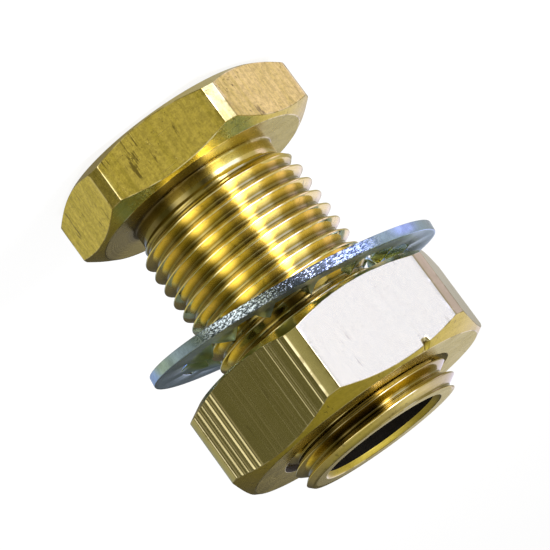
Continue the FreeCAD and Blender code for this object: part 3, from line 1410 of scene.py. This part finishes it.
@dataclass
class Studio:
    """Pale floor, soft light and the camera.

    Angles are in degrees, the camera's lens and sensor and the point it aims at in millimetres, and
    the other lengths in metres. floor_glow is the share of the floor that is plain white to the
    camera. The dome's rows blend into each other, with row_inset of the tilt between two rows kept
    plain at each end, and from tilt top_from to top_to into the light that level faces mirror.
    """

    camera_azimuth: float = -3.41
    camera_lift: float = 10.476
    camera_roll: float = -143.908
    camera_reach: float = 0.3877
    camera_aim: tuple[float, float, float] = (-0.658, 2.360, 19.826)
    lens: float = 224.51
    sensor: float = 36.0
    clip_range: tuple[float, float] = (0.01, 50.0)
    lamp_aim_z: float = 0.022
    floor_r: float = 6.0
    floor_z: float = -0.0003
    floor_sides: int = 96
    floor_grey: float = 0.86
    floor_roughness: float = 0.9
    floor_glow: float = 0.90
    softboxes: tuple[Softbox, ...] = (
        Softbox("key_softbox", 60.0, 50.0, 0.60, 0.30, 5.0),
        Softbox("fill_softbox", -60.0, 55.0, 0.70, 0.40, 2.5),
    )
    rows: tuple[PanelRow, ...] = (
        PanelRow(-60.0, (
            Shade(-180.0, 0.60), Shade(-90.0, 0.18, WARM), Shade(-30.0, 0.30, WARM), Shade(15.0, 0.55),
            Shade(90.0, 0.65), Shade(180.0, 0.60),
        )),
        PanelRow(0.0, (
            Shade(-180.0, 0.80), Shade(-120.0, 0.60), Shade(-90.0, 0.44, BLUE), Shade(-71.0, 0.56, BLUE),
            Shade(-66.0, 0.56, GOLD), Shade(-60.0, 0.56, GOLD), Shade(-47.0, 0.50, WARM),
            Shade(-37.0, 0.18, AMBER), Shade(-29.0, 0.18, AMBER), Shade(-19.0, 2.40), Shade(-15.0, 1.90),
            Shade(-8.0, 0.58, GOLD), Shade(-2.0, 0.46, GOLD), Shade(3.0, 0.14, WARM), Shade(8.0, 0.35, WARM),
            Shade(12.0, 1.20), Shade(14.5, 9.5, PALE), Shade(17.0, 9.5, PALE), Shade(20.5, 5.00, SKY),
            Shade(32.0, 5.00, SKY), Shade(37.0, 0.75, WARM), Shade(49.0, 0.62, WARM), Shade(54.0, 1.05, ROSE),
            Shade(59.5, 1.05, ROSE), Shade(65.0, 0.50, WARM), Shade(75.0, 0.45, WARM), Shade(85.0, 0.72),
            Shade(120.0, 0.80), Shade(180.0, 0.80),
        )),
        PanelRow(35.0, (
            Shade(-180.0, 0.50), Shade(-120.0, 0.20), Shade(-90.0, 0.10, WARM), Shade(-60.0, 0.26, WARM),
            Shade(-35.0, 0.32, WARM), Shade(-15.0, 0.65), Shade(0.0, 1.00), Shade(20.0, 1.00),
            Shade(45.0, 0.62, WARM), Shade(90.0, 0.42, WARM), Shade(180.0, 0.50),
        )),
        PanelRow(60.0, (
            Shade(-180.0, 0.50), Shade(-120.0, 0.15), Shade(-90.0, 0.08, WARM), Shade(-60.0, 0.14, WARM),
            Shade(-35.0, 0.24, GOLD), Shade(-5.0, 0.34, GOLD), Shade(15.0, 0.38, WARM), Shade(30.0, 0.66),
            Shade(55.0, 0.96, PALE), Shade(90.0, 0.96, PALE), Shade(180.0, 0.80),
        )),
    )
    top_left: Shade = Shade(-90.0, 0.07, WARM)
    top_right: Shade = Shade(90.0, 0.72)
    top_span: tuple[float, float] = (-0.12, 0.06)
    top_from: float = 67.0
    top_to: float = 80.0
    row_inset: float = 0.2
    soft_level: float = 0.8

    def row_angle(self, swing: float) -> float:
        """Angle about +Z, in radians, of a place so many degrees to the right of the camera."""
        return math.radians(self.camera_azimuth - 90.0 - swing)

    def _axes(self) -> tuple[Vector, Vector, Vector]:
        """Directions of the camera before it is rolled.

        Returns:
            Its level side, its back and its rise.
        """
        turn, lift = math.radians(self.camera_azimuth), math.radians(self.camera_lift)
        side = Vector((math.cos(turn), math.sin(turn), 0))
        back = Vector((math.sin(turn) * math.cos(lift), -math.cos(turn) * math.cos(lift), math.sin(lift)))
        return side, back, back.cross(side)

    def build(self) -> None:
        """Makes the stage, the lamps and the camera."""
        self._floor()
        self._world()
        for lamp in self.softboxes:
            self._lamp(lamp)
        self._camera()
        bpy.context.scene.view_settings.view_transform = "Standard"

    def _disc(self) -> bpy.types.Object:
        """Round floor about the axis.

        Returns:
            The linked object.
        """
        work = bmesh.new()
        turns = np.linspace(0, 2 * math.pi, self.floor_sides + 1)[:-1]
        work.faces.new([work.verts.new((self.floor_r * math.cos(turn), self.floor_r * math.sin(turn),
                                        self.floor_z)) for turn in turns])
        mesh = bpy.data.meshes.new("floor")
        work.to_mesh(mesh)
        work.free()
        disc = bpy.data.objects.new("floor", mesh)
        bpy.context.scene.collection.objects.link(disc)
        return disc

    def _floor(self) -> None:
        """Pale floor that shows white to the camera and keeps a soft shadow."""
        disc = self._disc()
        made = bpy.data.materials.new("pale_floor")
        made.use_nodes = True
        sketch = NodeSketch(made.node_tree)
        shader = made.node_tree.nodes["Principled BSDF"]
        shader.inputs["Base Color"].default_value = (self.floor_grey, self.floor_grey, self.floor_grey, 1)
        shader.inputs["Roughness"].default_value = self.floor_roughness
        shader.inputs["Specular IOR Level"].default_value = 0.0
        glow = sketch.add("ShaderNodeEmission", {"Color": (1, 1, 1, 1), "Strength": 1.0})
        path = sketch.add("ShaderNodeLightPath")
        seen = sketch.math("MULTIPLY", path.outputs["Is Camera Ray"], self.floor_glow)
        mixed = sketch.add("ShaderNodeMixShader", {0: seen, 1: shader.outputs[0], 2: glow.outputs[0]})
        sketch.feed(made.node_tree.nodes["Material Output"].inputs["Surface"], mixed.outputs[0])
        disc.data.materials.append(made)
        disc.visible_glossy = False

    def _graded(self, sketch: NodeSketch, share: bpy.types.NodeSocket,
                shades: Sequence[Shade]) -> bpy.types.NodeSocket:
        """Light colour that changes with the swing round the connector.

        Args:
            sketch: the world's nodes.
            share: the swing as a share of a full turn.
            shades: the levels and tints, from left to right.

        Returns:
            The colour's socket.
        """
        strongest = max(max(shade.light[:3]) for shade in shades)
        ramp = sketch.add("ShaderNodeValToRGB", {"Fac": share})
        ramp.color_ramp.interpolation = "EASE"
        while len(ramp.color_ramp.elements) < len(shades):
            ramp.color_ramp.elements.new(0.5)
        for spot, shade in zip(ramp.color_ramp.elements, shades):
            spot.position = (shade.swing + FULL_TURN / 2) / FULL_TURN
        for spot, shade in zip(ramp.color_ramp.elements, shades):
            spot.color = (*[part / strongest for part in shade.light[:3]], 1)
        raised = sketch.add("ShaderNodeVectorMath", {0: ramp.outputs["Color"], "Scale": strongest},
                            operation="SCALE")
        return raised.outputs["Vector"]

    def _world(self) -> None:
        """White to the camera, and for the rest a dome of soft panels.

        A panel is placed by the swing and the tilt of the surface that mirrors it to the camera.
        """
        world = bpy.data.worlds.new("studio")
        world.use_nodes = True
        bpy.context.scene.world = world
        tree = world.node_tree
        sketch = NodeSketch(tree)
        background = tree.nodes["Background"]
        direction = sketch.add("ShaderNodeTexCoord").outputs["Generated"]
        _, back, _ = self._axes()
        half = sketch.add("ShaderNodeVectorMath", {0: direction, 1: back}, operation="ADD")
        unit = sketch.add("ShaderNodeVectorMath", {0: half.outputs["Vector"]}, operation="NORMALIZE")
        facing = unit.outputs["Vector"]
        start = self.row_angle(0.0)
        right = (math.cos(start - math.pi / 2), math.sin(start - math.pi / 2), 0)
        front = (math.cos(start), math.sin(start), 0)
        sideways, forward = [
            sketch.add("ShaderNodeVectorMath", {0: facing, 1: way}, operation="DOT_PRODUCT").outputs["Value"]
            for way in (right, front)]
        swing = sketch.math("ARCTAN2", sideways, forward)
        share = sketch.add("ShaderNodeMapRange", {
            "Value": swing, "From Min": -math.pi, "From Max": math.pi}).outputs["Result"]
        rise = sketch.add("ShaderNodeSeparateXYZ", {"Vector": facing}).outputs["Z"]
        tilt = sketch.math("DEGREES", sketch.math("ARCSINE", rise))
        light = self._graded(sketch, share, self.rows[0].shades)
        for below, row in zip(self.rows, self.rows[1:]):
            inset = (row.tilt - below.tilt) * self.row_inset
            light = sketch.mix(sketch.remap(tilt, below.tilt + inset, row.tilt - inset),
                               light, self._graded(sketch, share, row.shades))
        top = sketch.mix(sketch.remap(sideways, *self.top_span), self.top_left.light, self.top_right.light)
        light = sketch.mix(sketch.remap(tilt, self.top_from, self.top_to), light, top)
        path = sketch.add("ShaderNodeLightPath")
        mirrored = sketch.math("MAXIMUM", path.outputs["Is Glossy Ray"],
                               path.outputs["Is Transmission Ray"])
        shown = sketch.mix(mirrored, Shade(0.0, self.soft_level).light, light)
        shown = sketch.mix(path.outputs["Is Camera Ray"], shown, (1, 1, 1, 1))
        sketch.feed(background.inputs["Color"], shown)
        background.inputs["Strength"].default_value = 1.0

    def _lamp(self, lamp: Softbox) -> None:
        """Adds one softbox.

        Args:
            lamp: its place, size and power.
        """
        data = bpy.data.lights.new(lamp.name, "AREA")
        data.shape = "SQUARE"
        data.size = lamp.size
        data.energy = lamp.power
        light = bpy.data.objects.new(lamp.name, data)
        turn, lift = self.row_angle(lamp.swing), math.radians(lamp.lift)
        aim = Vector((0, 0, self.lamp_aim_z))
        away = Vector((math.cos(turn) * math.cos(lift), math.sin(turn) * math.cos(lift), math.sin(lift)))
        light.location = aim + away * lamp.reach
        light.rotation_euler = away.to_track_quat("Z", "Y").to_euler()
        light.visible_glossy = False
        bpy.context.scene.collection.objects.link(light)

    def _camera(self) -> None:
        """Camera at the photograph's viewing angle, tilted so the tail points down to the right."""
        data = bpy.data.cameras.new("camera")
        data.sensor_width = self.sensor
        data.lens = self.lens
        data.clip_start, data.clip_end = self.clip_range
        camera = bpy.data.objects.new("camera", data)
        side, back, rise = self._axes()
        roll = math.radians(self.camera_roll)
        right = side * math.cos(roll) - rise * math.sin(roll)
        up = side * math.sin(roll) + rise * math.cos(roll)
        place = Matrix((right, up, back)).transposed().to_4x4()
        place.translation = Vector(self.camera_aim) * MM + back * self.camera_reach
        camera.matrix_world = place
        bpy.context.scene.collection.objects.link(camera)
        bpy.context.scene.camera = camera


def main() -> None:
    """Builds the pieces and the studio."""
    logging.basicConfig(level=logging.INFO, format="%(message)s")
    finishes = FinishSet().build()
    thread = PipeThread()
    for part in (ThreadedStud(thread), BackNut(thread), LockWasher()):
        piece = part.build(finishes)
        LOG.info("%s: %d faces", piece.name, len(piece.data.polygons))
    Studio().build()
    bpy.context.view_layer.update()


if __name__ == "__main__":
    main()
